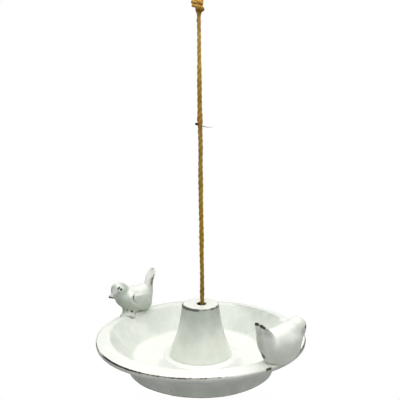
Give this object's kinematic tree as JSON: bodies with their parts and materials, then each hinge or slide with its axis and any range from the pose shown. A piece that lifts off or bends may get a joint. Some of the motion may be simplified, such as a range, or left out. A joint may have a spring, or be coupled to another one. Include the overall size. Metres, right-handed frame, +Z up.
{
  "type": "hanging bird waterer",
  "caption": "Glazed ceramic bird waterer: a round dish with small birds on its broad rim and a hollow centre column, hung on a knotted jute cord with a loop.",
  "frame": {"origin": "the hang point, inside the top of the cord's loop, where a hook carries the object", "axes": "+Z up along the cord, +X to the right and -Y to the front as the picture shows it"},
  "size_m": [0.24, 0.24, 0.4588],
  "materials": {
    "glaze": "glossy white glaze with dark breaks along the edges",
    "jute": "dry, hairy twisted jute"
  },
  "bodies": {
    "loop": {"hanging_loop": "jute"},
    "upper_knot": {"top_knot": "jute", "loop_tail": "jute"},
    "cord": {"hanging_cord": "jute"},
    "lower_knot": {"stop_knot": "jute", "cord_tail": "jute"},
    "waterer": {"dish": "glaze", "column": "glaze", "bird_left": "glaze", "bird_right": "glaze"}
  },
  "joints": [
    {"name": "swing_fore_aft", "type": "hinge", "parent": "loop", "child": "upper_knot", "pos_m": [0, 0, -0.042], "axis": [1, 0, 0], "range_deg": [-20, 20]},
    {"name": "swing_sideways", "type": "hinge", "parent": "upper_knot", "child": "cord", "pos_m": [0, 0, -0.058], "axis": [0, 1, 0], "range_deg": [-20, 20]},
    {"name": "spin", "type": "hinge", "parent": "cord", "child": "lower_knot", "pos_m": [0, 0, -0.39356], "axis": [0, 0, 1], "continuous": true},
    {"name": "dish_tilt", "type": "hinge", "parent": "lower_knot", "child": "waterer", "pos_m": [0, 0, -0.39356], "axis": [1, 0, 0], "range_deg": [-15, 15]}
  ]
}
